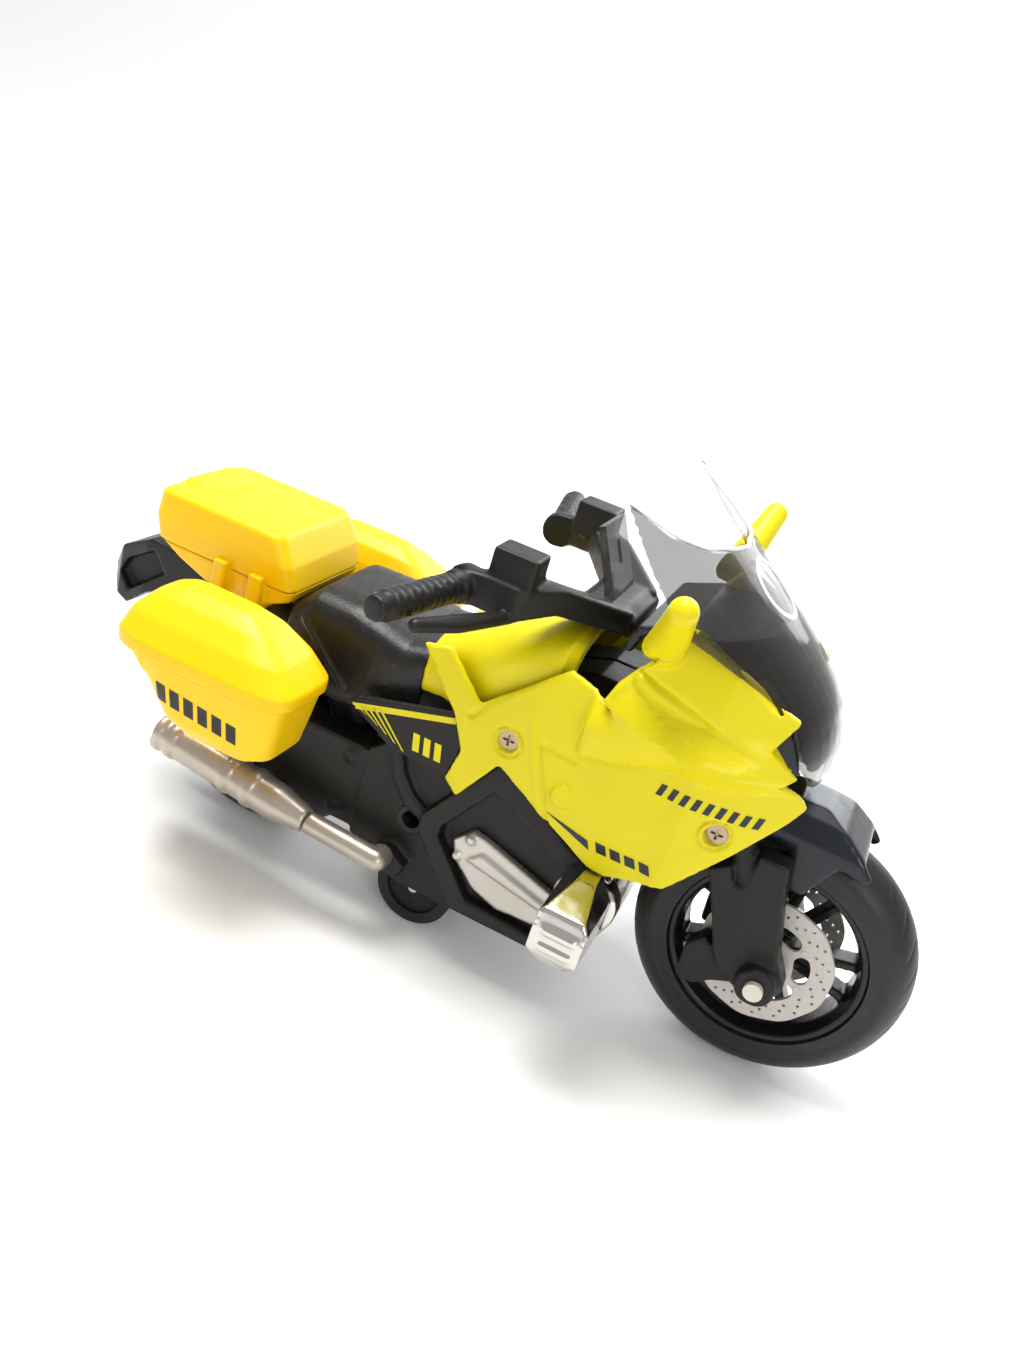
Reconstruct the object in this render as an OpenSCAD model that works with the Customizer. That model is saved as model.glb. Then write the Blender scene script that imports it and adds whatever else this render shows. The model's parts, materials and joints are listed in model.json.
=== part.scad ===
// Radio-controlled touring motorcycle with panniers, top box and stabiliser wheels.
// Millimetres. +X forward, +Y left, +Z up. Origin on the ground under the middle of the bike.

/* [Overall] */
// Length from the back of the tail to the front of the front tyre
overall_l = 184; // [183:0.5:186]
// Distance between the two wheel axles
wheelbase = 114; // [113:0.5:115]
// Thickness of the moulded body shells
shell_t = 1.5; // [1.2:0.1:1.7]

/* [Road wheels] */
// Outer radius of the road tyres
wheel_r = 27; // [26.5:0.1:27]
// Width of the road tyres
tyre_w = 13; // [11:0.5:13]
// Radius of the crown of the tyre section
crown_r = 7; // [6.8:0.1:8]
// Radius where the tyre sits on the rim
rim_r = 19; // [18:0.25:19.5]
// Number of double spokes in a rim
spoke_pairs = 5; // [4:1:6]
// Radius of the brake discs
disc_r = 13; // [11:0.5:13.5]
// Thickness of the brake discs
disc_t = 0.8; // [0.6:0.1:0.9]
// Radius of the front axle
front_axle_r = 1.2; // [1:0.1:1.3]
// Radius of the rear axle
rear_axle_r = 1.5; // [1.2:0.1:1.6]

/* [Stabiliser wheels] */
// Radius of the stabiliser wheels
stabiliser_r = 8.3; // [8:0.1:8.6]
// Width of a stabiliser wheel
stabiliser_w = 3; // [2:0.25:3.2]
// Distance from the middle of the bike to the middle of a stabiliser wheel
stabiliser_y = 10.7; // [10.5:0.1:10.8]
// Place of the stabiliser axle along the bike
stabiliser_x = -3.5; // [-4:0.25:-3]

/* [Steering] */
// Angle of the steering axis from the vertical
rake = 27; // [26:0.5:28]
// Radius of the steering stem
stem_r = 2; // [1.8:0.1:2.2]
// Distance from the middle of the bike to a fork tube
fork_y = 11.6; // [11.4:0.1:11.8]
// Radius of a fork tube
fork_tube_r = 2.4; // [2:0.1:2.5]

/* [Drive train] */
// Gear module, the pitch diameter for each tooth
gear_module = 0.5; // [0.5]
// Teeth on the motor pinion
pinion_teeth = 10; // [10]
// Teeth on each idler gear
idler_teeth = 26; // [26]
// Teeth on the gear of the rear axle
axle_teeth = 32; // [32]
// Width of the gears
gear_w = 3; // [2:0.5:3]
// Radius of the drive motor
motor_r = 6; // [5:0.25:6]
// Radius of the steel pins that carry the idler gears
gear_pin_r = 1; // [0.8:0.1:1.1]

/* [Electrics] */
// Length of the battery
battery_l = 27; // [24:1:27]
// Width of the battery
battery_w = 14; // [10:1:15]
// Height of the battery
battery_h = 12; // [8:1:14]
// Radius of the plug hole in the charging socket
socket_bore_r = 1.9; // [1.5:0.1:2]
// Travel of the power switch
switch_travel = 2; // [1:0.5:2]

/* [Fits] */
// Radial clearance of a part that turns on a pin or shaft
run_gap = 0.06; // [0.05:0.01:0.08]
// Gap between two shells that meet
joint_gap = 0.1; // [0.06:0.02:0.14]

/* [Hidden] */
$fn = 48;
wheel_fn = 96;
front_x = overall_l / 2 - wheel_r;
rear_x = front_x - wheelbase;
axle_z = wheel_r;
tyre_side = tyre_w / 2;
hub_r = 4.2;
spoke_a = 13;
spoke_h = 0.9;
stabiliser_z = stabiliser_r + 0.8;

// Drive train, on the left side
pinion_r = gear_module * pinion_teeth / 2;
idler_r = gear_module * idler_teeth / 2;
axle_gear_r = gear_module * axle_teeth / 2;
idler_b_x = rear_x + axle_gear_r + idler_r;
idler_a_x = idler_b_x + 2 * idler_r;
motor_x = idler_a_x + idler_r + pinion_r;
gear_y0 = 9.8;
bay_y0 = 9.4;
bay_y1 = 13.2;
tip_gap = 0.9;

// Engine case and swing arms
case_y = 15.5;
arm_y0 = 8.2;
arm_y1 = 15.2;
brace_y = 18.6;
case_outline = [[-19, 17], [-12, 13.5], [-7, 10.8], [24, 10.8], [31, 16], [34, 24],
    [34, 38], [24, 47], [8, 49], [-13, 42], [-19, 37]];
arm_outline = [[-60, 23], [-57, 17.5], [-40, 18], [-14, 18], [-14, 36], [-40, 36],
    [-55, 37], [-60, 32]];
arm_pocket = [[-58, 24], [-55.5, 19.4], [-40, 19.6], [-20.6, 19.6], [-20.6, 34.4], [-40, 34.4],
    [-54, 35.4], [-58, 31]];
cover_outline = [[-58.6, 23.2], [-56, 18.9], [-40, 19.3], [-8, 19.3], [-8, 34.7], [-40, 34.7],
    [-54.5, 35.6], [-58.6, 31.6]];
spine_outline = [[-19, 42], [8, 47], [34, 44], [41, 56], [35, 68], [18, 68], [-13, 57.4], [-38, 56.6],
    [-42, 57], [-60, 57], [-68, 55.6], [-68, 50.5], [-60, 54.6], [-49, 56], [-38, 54.4], [-28, 49]];
brace_outline = [[8, 48.5], [-4.2, 30], [-4.2, 26.5], [6, 14], [25, 13], [31.5, 18], [33, 24],
    [33, 36], [26, 37]];
brace_window = [[8.5, 42], [0.2, 29.6], [0.2, 27], [9, 16.5], [24, 15.6], [29.5, 19.6],
    [30.5, 25], [30.5, 33], [24, 34]];
bracket_outline = [[-14.6, 40.4], [-11.8, 40.4], [-10.2, 36], [-7.4, 32.6], [-3.8, 30.4], [-4.1, 27.4],
    [-8.6, 29.4], [-12.2, 33.4]];
boss_places = [[-22.6, 33.4], [-24, 20.4], [-37, 20.2], [-50.6, 34.4]];

// Charging socket, on the right side
socket_x = -7;
socket_z = 26;
socket_r = 2.9;

// Steering, in the frame of the raked steering axis: w is the height along the axis
bridge_w0 = 31;
bridge_w1 = 35;
head_w0 = 36;
head_w1 = 49;
stem_w1 = 50;
magnet_w1 = 53;
coil_w0 = 53.6;
coil_w1 = 57;
leg_y0 = 9;
leg_y1 = 14.4;
boss_y0 = 8;
boss_y1 = 17.6;
axle_end_y = 18.8;
leg_outline = [[62, 23], [68, 23.4], [70, 27], [67, 32], [64, 42], [62, 50.5], [56.4, 50.5],
    [56.6, 43], [54.2, 43], [52.6, 46.5], [49, 44], [53, 35], [55, 30], [57, 26]];
caliper_outline = [[57, 27], [53.4, 29.4], [50.6, 26], [51, 19], [54.5, 18.4], [57.6, 21], [62, 23]];
fender_outline = [[53, 52], [55, 57.6], [59, 59.6], [64, 59.8], [69, 57.8], [73, 55],
    [76, 51.8], [74.6, 50.6], [70, 51.6], [66, 43.5], [61.5, 43.5], [61, 51]];
fender_hollow = [[51, 45], [55, 54.6], [57.6, 57.6], [63.6, 58.2], [68.2, 56.4], [71.6, 54], [74, 51.4],
    [77, 45]];

// Luggage
pannier_levels = [[34.6, -49, -34, 24, 35.5], [37.5, -53, -29.4, 22.6, 37.6], [44, -57, -28.4, 21.6, 39],
    [49.4, -61.5, -27.6, 21, 40]];
lid_levels = [[49.5, -64, -26.4, 20.6, 41], [52, -64.4, -26.4, 20.6, 41], [56, -63, -30.4, 22, 38.5],
    [59.4, -60, -36, 24, 35], [61.4, -56, -41, 26.6, 32]];
box_levels = [[57.1, -66, -43.6, -12.5, 12.5], [58.6, -71, -43.4, -14, 14], [62, -76, -44, -15, 15]];
box_lid_levels = [[62.1, -76.4, -43.8, -15.2, 15.2], [65.6, -78, -44.8, -15.6, 15.6],
    [68.4, -77, -47, -14.4, 14.4], [70, -75.4, -50.4, -12.2, 12.2]];
rail_x = -43;

// Body panels
fairing_outline = [[-12.4, 64.6], [-7, 66], [1.4, 58.6], [15.5, 72], [24, 70], [40, 67], [55, 66.5],
    [58, 65.2], [60.5, 62.6], [58.6, 59.6], [43.6, 41], [33, 38.6], [30, 38.8], [8.4, 49.4],
    [1.8, 38.6], [-1.2, 41.4], [0.4, 48.2], [-2.6, 54.4]];
cowl_outline = [[16.5, 74.4], [25, 81], [33, 88], [43, 84], [53.6, 78.6], [57, 69], [55, 66.7],
    [40, 67.2], [24.2, 70.2]];
trim_outline = [[-24.4, 47], [-22.4, 48.8], [-2.8, 54.2], [0.2, 48.2], [-1.4, 41], [-13, 41]];
glass_outline = [[-24.4, 103.6], [-20.5, 100], [-14, 98.4], [0, 97.8], [14, 98.4], [20.5, 100],
    [24.4, 103.6], [27, 96], [29, 88.2], [19, 79], [17, 70], [10, 64.6], [0, 64], [-10, 64.6],
    [-17, 70], [-19, 79], [-29, 88.2], [-27, 96]];
liner_outline = [[-24, 87.6], [24, 87.6], [19, 85.8], [16.6, 83], [15.4, 76.6], [14, 71.6], [8.4, 66.6],
    [0, 65.6], [-8.4, 66.6], [-14, 71.6], [-15.4, 76.6], [-16.6, 83], [-19, 85.8]];
glass_ridge = [[62, 60.6], [66, 62], [72, 61.4], [78, 58.4], [84, 52], [90, 44], [96, 35.8],
    [104, 26]];
glass_bow = 0.0162;
glass_t = 1.2;
waist_z = 52;
waist = [[-14, 19.6], [0, 20.8], [14, 22.4], [30, 24], [42, 23.4], [52, 20], [58, 16.4], [64, 11]];
panel_drop = 0.0035;
cowl_stand = 1.8;

// Screws of the fairings
screw_xs = [8.6, 48.4];
screw_z = 54.6;
screw_head_r = 1.9;
screw_r = 0.9;

// ---------- shared shapes ----------

// Solid with an outline in the XZ plane, from y0 to y1
module side_prism(points, y0, y1) {
    translate([0, y1, 0]) rotate([90, 0, 0]) linear_extrude(y1 - y0) polygon(points);
}

// Solid with an outline in the YZ plane, from x0 to x1
module front_prism(points, x0, x1) {
    translate([x0, 0, 0]) rotate([90, 0, 90]) linear_extrude(x1 - x0) polygon(points);
}

// Box between two corners
module box(low, high) {
    translate(low) cube(high - low);
}

// Rod along Y
module y_rod(x, z, r, y0, y1, fn = 48) {
    translate([x, y1, z]) rotate([90, 0, 0]) cylinder(r = r, h = y1 - y0, $fn = fn);
}

// Frame of the raked steering axis, with its origin at the front axle
module on_fork() {
    translate([front_x, 0, axle_z]) rotate([0, -rake, 0]) children();
}

module on_left() {
    mirror([0, 1, 0]) children();
}

// Closed solid through equal rings of points
module loft(rings) {
    n = len(rings[0]);
    m = len(rings);
    sides = [for (i = [0:m - 2]) for (j = [0:n - 1]) let (k = (j + 1) % n)
        each [[i * n + j, (i + 1) * n + k, i * n + k], [i * n + j, (i + 1) * n + j, (i + 1) * n + k]]];
    caps = [[for (j = [0:n - 1]) j], [for (j = [n - 1:-1:0]) (m - 1) * n + j]];
    polyhedron(points = [for (r = rings) each r], faces = concat(sides, caps), convexity = 6);
}

// Rounded outline with squareness e, in the unit square
function round_unit(a, e) = [sign(cos(a)) * pow(abs(cos(a)), e), sign(sin(a)) * pow(abs(sin(a)), e)];

// Level ring of a box-like shell: [z, x0, x1, y0, y1]
function level_ring(l, e, grow = 0) = [for (a = [0:10:350]) let (u = round_unit(a, e))
    [(l[1] + l[2]) / 2 + u[0] * ((l[2] - l[1]) / 2 + grow),
     (l[3] + l[4]) / 2 + u[1] * ((l[4] - l[3]) / 2 + grow), l[0]]];

// Upright ring of a body: [x, half width, bottom z, top z]
function station_ring(s, e, grow = 0, drop = 0) = [for (a = [0:10:350]) let (u = round_unit(a, e))
    [s[0], u[0] * (s[1] + grow), (s[2] + s[3]) / 2 - drop + u[1] * ((s[3] - s[2]) / 2 + grow)]];

// Thin sheet over a grid of u and v, given its two faces as functions
module grid_sheet(us, vs, outer, inner) {
    last = len(vs) - 1;
    loft([for (u = us) concat([for (v = vs) outer(u, v)], [for (i = [last:-1:0]) inner(u, vs[i])])]);
}

// Half width of the side panels at a place along the bike and a height
function panel_y(x, z) = lookup(x, waist) - panel_drop * pow(z - waist_z, 2);

// ---------- chassis ----------

module chassis_half() {
    difference() {
        union() {
            side_prism(case_outline, -case_y, -joint_gap / 2);
            side_prism(arm_outline, -arm_y1, -arm_y0);
            side_prism(spine_outline, -9, -joint_gap / 2);
            side_prism(brace_outline, -brace_y, -case_y);
            // moulded foot peg
            side_prism([[-12.4, 14.6], [-6, 13.4], [-5, 17], [-9, 19.6], [-12.4, 18]], -18.6, -case_y);
            // curved bracket below the side trim, and bolt bosses
            side_prism(bracket_outline, -17.4, -case_y);
            for (p = boss_places) {
                y_rod(p[0], p[1], 1.2, -arm_y1 - 0.6, -arm_y1);
            }
            // lug under the belly for the stabiliser axle
            translate([stabiliser_x, 0, stabiliser_z]) {
                side_prism([[-3, 4], [-2.6, -1.6], [0, -2.4], [2.6, -1.6], [3, 4]], -8.4, -6.4);
            }
        }
        side_prism(brace_window, -brace_y - 1, -case_y);
        // room for the battery and the circuit board
        side_prism([[-4, 12.3], [24.6, 12.3], [30, 17.6], [30, 46], [-4, 46]], -8, 1);
        box([-4, -13.6, 21], [29.6, 1, 40]);
        // room under the tank
        side_prism([[-14, 45], [8, 50], [32, 48], [36, 56], [32, 65], [19, 65], [-12, 55]], -7.4, 1);
        // opening that the battery door closes
        box([-3.2, -7.6, 10], [24, 1, 12.4]);
        // seats of the motor, the rear axle, the stabiliser axle and the charging socket
        y_rod(motor_x, axle_z, motor_r + run_gap, -7.6, 1);
        y_rod(rear_x, axle_z, rear_axle_r + run_gap, -case_y - 1, 0);
        y_rod(stabiliser_x, stabiliser_z, 1, -9, -6);
        // rear wheel and stabiliser wheel wells
        y_rod(rear_x, axle_z, wheel_r + 1.3, -7.9, 1, wheel_fn);
        y_rod(stabiliser_x, stabiliser_z, stabiliser_r + 0.8, -12.9, -8.5);
        steering_room();
    }
}

// Space that the steering head and its arm take in the chassis
module steering_room() {
    on_fork() translate([-14, -3, head_w0 - 0.5]) cube([14, 6, 30]);
    on_fork() translate([0, 0, head_w0 - 6]) cylinder(r = 5.2, h = 30);
}

module chassis_right() {
    color("#17181a") difference() {
        chassis_half();
        side_prism(arm_pocket, -13.8, -arm_y0 + 1);
        y_rod(socket_x, socket_z, socket_r, -case_y - 1, -8.9);
        // slot and seat of the power switch
        box([17, -12.2, 10], [23, -9.8, 13]);
        box([15.4, -13.3, 12.1], [24.6, -8.7, 21]);
    }
}

module chassis_left() {
    color("#17181a") on_left() difference() {
        chassis_half();
        gear_bay();
        side_prism(cover_outline, -arm_y1 - 1, -bay_y1);
        y_rod(motor_x, axle_z, 1.4, -bay_y0 - 1, -6);
        y_rod(idler_a_x, axle_z, gear_pin_r, -bay_y0 - 1, -8);
        y_rod(idler_b_x, axle_z, gear_pin_r, -bay_y0 - 1, -8);
    }
}

// Room for the gear train, on the right before it is mirrored
module gear_bay() {
    y_rod(rear_x, axle_z, axle_gear_r + tip_gap, -bay_y1, -bay_y0);
    y_rod(idler_b_x, axle_z, idler_r + tip_gap, -bay_y1, -bay_y0);
    y_rod(idler_a_x, axle_z, idler_r + tip_gap, -bay_y1, -bay_y0);
    y_rod(motor_x, axle_z, pinion_r + tip_gap, -bay_y1, -bay_y0);
}

module gearbox_cover() {
    color("#1b1c1e") difference() {
        union() {
            side_prism(cover_outline, bay_y1 + 0.02, arm_y1);
            y_rod(idler_a_x, axle_z, 2.2, arm_y1, arm_y1 + 0.5);
            y_rod(idler_b_x, axle_z, 2.2, arm_y1, arm_y1 + 0.5);
        }
        y_rod(rear_x, axle_z, rear_axle_r + run_gap, bay_y1 - 1, arm_y1 + 1);
    }
}

module steering_head() {
    color("#202124") on_fork() difference() {
        union() {
            translate([0, 0, head_w0]) cylinder(r = 4.2, h = head_w1 - head_w0);
            translate([-12, -2.6, head_w0 + 0.4]) cube([10, 5.2, coil_w1 - head_w0]);
            translate([-12, -2.6, coil_w1]) cube([16, 5.2, 1.4]);
        }
        translate([0, 0, head_w0 - 1]) cylinder(r = stem_r + run_gap, h = head_w1);
        translate([0, 0, head_w1]) cylinder(r = 6, h = coil_w1 - head_w1);
    }
}

// ---------- engine dress ----------

module engine_cover() {
    side_prism([[3, 27.4], [6.4, 31], [9.4, 30.4], [26, 25.4], [27.4, 21.4], [23, 17.6], [15, 17],
        [9.4, 19], [4.4, 23.4]], -17.4, -case_y);
    side_prism([[7, 25], [9.6, 27.4], [24.4, 23.2], [25.2, 21.6]], -18.2, -17.4);
    y_rod(6.6, 29.4, 0.9, -18.4, -17.4);
    y_rod(25.4, 23.4, 0.9, -18.4, -17.4);
    y_rod(4.6, 24.6, 0.8, -18.2, -17.4);
}

module engine_cover_right() {
    color("#d9d5cf") engine_cover();
}

module engine_cover_left() {
    color("#d9d5cf") on_left() engine_cover();
}

// Boxer cylinder with its chromed valve cover
module cylinder_head() {
    y_rod(31.4, 31, 6.2, -22.4, -brace_y);
    intersection() {
        side_prism([[26.4, 27], [26.4, 35], [29.6, 38.4], [33, 38.4], [36, 34], [36, 27], [33.4, 24],
            [28.6, 24]], -36.4, -22.2);
        front_prism([[-22.2, 24], [-22.2, 38.4], [-27, 38.4], [-35.4, 35.6], [-36.4, 32], [-36.4, 27],
            [-34.6, 24.4]], 20, 40);
    }
    // ribs along the outer face
    for (z = [28, 31.4]) {
        box([28.4, -36.9, z], [34.4, -36.2, z + 1.2]);
    }
}

module cylinder_head_right() {
    color("#e4e2de") cylinder_head();
}

module cylinder_head_left() {
    color("#e4e2de") on_left() cylinder_head();
}

module engine_front_cover() {
    color("#cfccc6") difference() {
        side_prism([[34.1, 37], [34.1, 23.9], [31.2, 16], [27, 12.9], [29, 11], [33.4, 13.2], [36.2, 20],
            [36.4, 34]], -9, 9);
        y_rod(36.6, 28, 1.1, -10, -8);
    }
}

// ---------- body panels ----------

module panel_sheet(stand) {
    zs = [for (z = [34:4:90]) z];
    xs = [-14, -7, 0, 7, 14, 22, 30, 36, 42, 47, 52, 55, 58, 61, 64];
    grid_sheet(xs, zs, function(x, z) [x, -panel_y(x, z) - stand + shell_t, z],
        function(x, z) [x, -panel_y(x, z) - stand, z]);
}

module fairing() {
    difference() {
        intersection() {
            panel_sheet(0);
            side_prism(fairing_outline, -30, 0);
        }
        // seats of the two screws
        for (x = screw_xs) {
            y_rod(x, screw_z, screw_head_r + 0.2, -30, 0);
        }
        // scoop that opens towards the back
        side_prism([[27, 53], [41, 55.4], [41, 58], [30, 57]], -30, -23);
    }
    // round boss and the two posts that take the screws
    y_rod(21.6, 50, 2.2, -24.1, -22.4);
    for (x = screw_xs) {
        screw_post(x, -post_top(x));
    }
}

// Distance from the middle of the bike to the seat of a screw head
function post_top(x) = panel_y(x, screw_z) - shell_t;

// Cup behind a panel that takes a screw
module screw_post(x, y) {
    difference() {
        y_rod(x, screw_z, screw_head_r + 1, y - 0.2, y + 3);
        y_rod(x, screw_z, screw_head_r + 0.2, y - 1, y);
        y_rod(x, screw_z, screw_r + 0.05, y - 1, y + 4);
    }
}

module fairing_right() {
    color("#e6e21c") fairing();
}

module fairing_left() {
    color("#e6e21c") on_left() fairing();
}

// Upper cowl with its mirror horn
module front_cowl() {
    difference() {
        union() {
            intersection() {
                panel_sheet(cowl_stand);
                side_prism(cowl_outline, -30, 0);
            }
            mirror_horn();
        }
        intersection() {
            glass_sheet(0.1, glass_t + 0.3);
            front_prism([for (p = glass_outline) [p[0] * 1.012, p[1] - 0.15]], 0, 70);
        }
    }
}

// Stubby mirror that grows out of the cowl
module mirror_horn() {
    hull() {
        translate([30, -21.4, 82.4]) sphere(r = 2.8, $fn = 24);
        translate([26, -21.2, 79.4]) sphere(r = 1.6, $fn = 24);
        translate([31.2, -33, 91]) sphere(r = 2.8, $fn = 24);
    }
    hull() {
        translate([31.2, -33, 91]) sphere(r = 2.8, $fn = 24);
        translate([32.2, -38.6, 95.4]) sphere(r = 2.4, $fn = 24);
    }
}

module front_cowl_right() {
    color("#e8e020") front_cowl();
}

module front_cowl_left() {
    color("#e8e020") on_left() front_cowl();
}

function glass_x(y, z) = lookup(z, glass_ridge) - glass_bow * y * y;

module glass_sheet(stand, thick) {
    ys = [for (y = [-30:3:30]) y];
    zs = [for (z = [62:3:104]) z];
    grid_sheet(ys, zs, function(y, z) [glass_x(y, z) + stand - thick, y, z],
        function(y, z) [glass_x(y, z) + stand, y, z]);
}

module windshield() {
    color("#30343880") intersection() {
        glass_sheet(0, glass_t);
        front_prism(glass_outline, 0, 70);
    }
}

module nose_liner() {
    color("#101113") {
        difference() {
            intersection() {
                glass_sheet(-1.6, 1.6);
                front_prism(liner_outline, 0, 70);
            }
            front_prism([[-8, 70.4], [-5, 67.6], [5, 67.6], [8, 70.4], [8.6, 74], [-8.6, 74]], 40, 70);
        }
        // dashboard behind the glass
        intersection() {
            glass_sheet(-1.6, 60);
            side_prism([[21.6, 77], [22.6, 82], [30, 85], [50, 86.2], [50, 84.8], [31, 83.4], [24, 80.6],
                [23, 77]], -16, 16);
        }
    }
}

module headlight() {
    color("#c9ccd0") intersection() {
        glass_sheet(-3.7, 1.4);
        front_prism([[-9.4, 70.4], [-6, 66.6], [6, 66.6], [9.4, 70.4], [10, 75], [-10, 75]], 40, 70);
    }
}

module tank_cover() {
    stations = [[-12.2, 16.4, 51, 64.6], [-6, 17.4, 51, 68.4], [2, 18.4, 52, 73.4], [9, 19.2, 55, 75.8],
        [16, 18.8, 60, 76.2], [21, 16.6, 65, 75]];
    color("#e9e31e") difference() {
        loft([for (s = stations) station_ring(s, 0.56)]);
        loft([for (s = stations) station_ring([s[0] * 1.03 - 0.1, s[1], s[2] - 14, s[3]], 0.56,
            -shell_t)]);
    }
}

module side_trim_right() {
    color("#1a1b1d") side_trim_body();
}

module side_trim_left() {
    color("#1a1b1d") on_left() side_trim_body();
}

// Flat trim panel beside the seat
module side_trim_body() {
    side_prism(trim_outline, -19.6, -18.3);
    side_prism([[-8, 41.6], [-4, 41.6], [-4, 46], [-8, 45]], -18.3, -case_y);
}

module seat() {
    stations = [[-43.2, 13.8, 46, 58], [-38.6, 15, 41, 62.6],
        [-30, 15.6, 40, 62.8], [-23, 15.8, 41, 61.6], [-18, 15.6, 43, 60.4], [-12.4, 14.8, 46, 61.4]];
    color("#141516") difference() {
        loft([for (s = stations) station_ring(s, 0.44)]);
        loft([for (s = stations) station_ring([s[0] * 1.03 + 1.2, s[1], s[2] - 16, s[3]], 0.44,
            -shell_t - 0.3)]);
        box([-45, -9.15, 44], [-40, 9.15, 57.6]);
    }
}

module tail_rail() {
    outline = [[-62, 50.4], [-62.4, 55.9], [-74, 55.9], [-79, 56.4], [-87, 51.6], [-92, 44.6], [-90, 41],
        [-84, 39.4], [-79, 44], [-70, 48.6]];
    plan = [[-92, -3], [-92, 3], [-87, 8.4], [-80, 10], [-62, 10], [-62, -10], [-80, -10], [-87, -8.4]];
    color("#151617") difference() {
        intersection() {
            side_prism(outline, -10, 10);
            translate([0, 0, 36]) linear_extrude(26) polygon(plan);
        }
        side_prism([[-78, 54], [-85, 49.4], [-87, 45.6], [-84, 42.4], [-79, 46.6], [-75, 50]], -12, -6.6);
        side_prism([[-78, 54], [-85, 49.4], [-87, 45.6], [-84, 42.4], [-79, 46.6], [-75, 50]], 6.6, 12);
        side_prism([[-68.6, 49], [-68.6, 56.5], [-61, 56.5], [-61, 49]], -9.2, 9.2);
    }
}

// ---------- luggage ----------

module hollow_levels(levels, e, floor_up) {
    difference() {
        loft([for (l = levels) level_ring(l, e)]);
        loft([for (l = levels) level_ring([l[0] + floor_up, l[1], l[2], l[3], l[4]], e, -shell_t)]);
    }
}

module pannier_case() {
    on_left() hollow_levels(pannier_levels, 0.34, shell_t);
    // rail that hooks the case onto the seat side
    box([rail_x - 7, -21.9, 43.6], [rail_x + 5, -15.9, 49]);
}

module pannier_lid() {
    on_left() hollow_levels(lid_levels, 0.42, -shell_t);
}

module pannier_case_right() {
    color("#f4c81c") pannier_case();
}

module pannier_case_left() {
    color("#f4c81c") on_left() pannier_case();
}

module pannier_lid_right() {
    color("#f6cf20") pannier_lid();
}

module pannier_lid_left() {
    color("#f6cf20") on_left() pannier_lid();
}

module top_box_base() {
    color("#f4cc1c") {
        hollow_levels(box_levels, 0.3, shell_t);
        for (s = [-1, 1], x = [-60.6, -52.4]) {
            translate([x, s * 14.6 - 1.4, 53.4]) cube([3, 2.8, 8]);
        }
    }
}

module top_box_lid() {
    color("#f8d524") {
        hollow_levels(box_lid_levels, 0.3, -shell_t);
        // raised pad at the back of the lid
        translate([-76, -8.4, 67.6]) cube([7, 16.8, 3.2]);
    }
}

// ---------- exhaust ----------

module exhaust_can() {
    color("#c3b9ab") {
        translate([-61.6, -21.6, 23.4]) rotate([0, 97, 0]) {
            difference() {
                union() {
                    cylinder(r = 3.9, h = 29);
                    translate([0, 0, 29]) cylinder(r1 = 3.9, r2 = 2.6, h = 7);
                    for (w = [0, 3.4, 17, 22.4]) {
                        translate([0, 0, w]) cylinder(r = 4.3, h = 1.6);
                    }
                }
                translate([0, 0, -1]) cylinder(r = 3, h = 4.6);
            }
        }
        box([-47, -18, 20], [-43, -arm_y1 - 0.02, 22.6]);
    }
}

module exhaust_header() {
    color("#b3a999") {
        translate([-25.64, -21.6, 19]) rotate([0, 93, 0]) cylinder(r = 2.3, h = 16.2);
        translate([-9.5, -21.6, 18.15]) sphere(r = 2.3);
        y_rod(-9.5, 18.15, 2.3, -21.6, -brace_y);
    }
}

// ---------- handlebar ----------

module handlebar() {
    color("#141415") {
        side_prism([[9.4, 76.4], [8.8, 79.4], [10.6, 81], [18, 81], [20.8, 79.4], [20.6, 76.4]], -9, 9);
        for (s = [0, 1]) {
            mirror([0, s, 0]) handlebar_side();
        }
    }
}

// Right arm of the moulded handlebar: wing, switch block, fluid box, ribbed grip and lever
module handlebar_side() {
    hull() {
        box([10, -9, 76.6], [19.6, -7, 80.8]);
        box([2, -20, 79.4], [9.6, -18, 84.2]);
    }
    hull() {
        box([2, -20, 79.4], [9.6, -18, 84.2]);
        box([-6.4, -26, 77.4], [4, -24, 83.4]);
    }
    box([-3, -25, 82], [5.4, -18.4, 88.8]);
    translate([-6.2, -23, 80]) rotate([90, 0, 0]) rotate([0, -12, 0]) grip();
    hull() {
        translate([3, -25, 78]) sphere(r = 1.3, $fn = 16);
        translate([-1.4, -36, 77.6]) sphere(r = 1.2, $fn = 16);
        translate([-6, -43, 78]) sphere(r = 1.3, $fn = 16);
    }
}

module grip() {
    cylinder(r = 2.3, h = 25.4);
    translate([0, 0, -1]) cylinder(r = 3.6, h = 3);
    translate([0, 0, 3]) cylinder(r = 3.1, h = 1.4);
    for (w = [5.6:1.8:23]) {
        translate([0, 0, w]) cylinder(r = 2.8, h = 1);
    }
}

module instrument_panel() {
    color("#8f9398") difference() {
        side_prism([[13.4, 81], [8.4, 92.6], [9.6, 93.2], [15.4, 81]], -6, 6);
        side_prism([[9.6, 86], [9.6, 90], [14, 90], [14, 86]], -1, 1);
    }
}

// ---------- electrics ----------

module battery() {
    color("#2f6fb5") box([-3, -battery_w / 2, 12.4], [-3 + battery_l, battery_w / 2, 12.4 + battery_h]);
}

module battery_door() {
    color("#1b1c1e") difference() {
        box([-3.1, -7.5, 10.8], [23.9, 7.5, 12.3]);
        translate([21.6, 0, 9]) cylinder(r = 1.1, h = 5);
        for (x = [4, 8, 12, 16]) {
            box([x, -5, 10], [x + 1.6, 5, 11.3]);
        }
    }
}

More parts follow.
